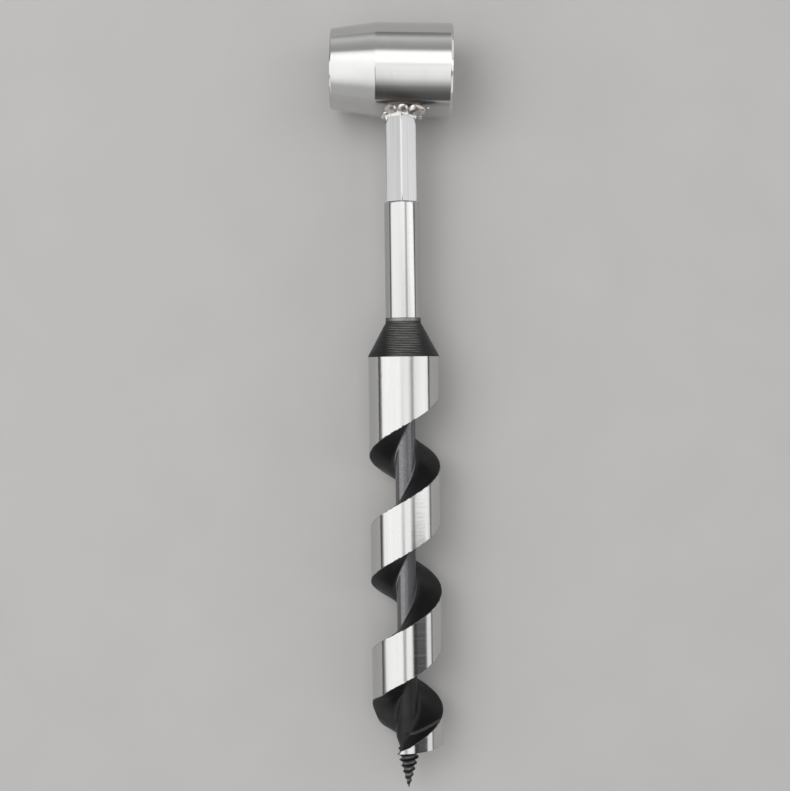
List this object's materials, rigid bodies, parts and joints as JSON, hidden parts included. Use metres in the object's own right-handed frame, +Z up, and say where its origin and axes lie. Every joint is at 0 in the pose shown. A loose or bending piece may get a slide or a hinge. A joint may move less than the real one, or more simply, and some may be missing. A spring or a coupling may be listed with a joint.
{
  "type": "hand wood auger",
  "caption": "Hand wood auger: a steel cross eye for a wooden handle, welded to a hexagonal shank with a black shoulder, a right-hand twist with a cutting lip and a screw point.",
  "frame": {"origin": "middle of the underside of the tool's bounding box, the tool lying on its side", "axes": "+X along the eye towards its straight end, +Y along the bit towards the eye, +Z up"},
  "size_m": [0.0432, 0.2688, 0.0325],
  "materials": {
    "eye_steel": "turned bright",
    "weld_metal": "bare rippled weld",
    "hex_steel": "drawn satin",
    "shank_steel": "ground bright",
    "shoulder_black": "black paint over turning grooves",
    "twist_steel": "bright ground lands, black paint in the flute",
    "screw_black": "black"
  },
  "bodies": {
    "root": {"eye_tube": "eye_steel", "eye_weld": "weld_metal", "hex_shank": "hex_steel", "round_shank": "shank_steel", "shoulder_cone": "shoulder_black", "twist": "twist_steel", "lead_screw": "screw_black"}
  },
  "joints": []
}
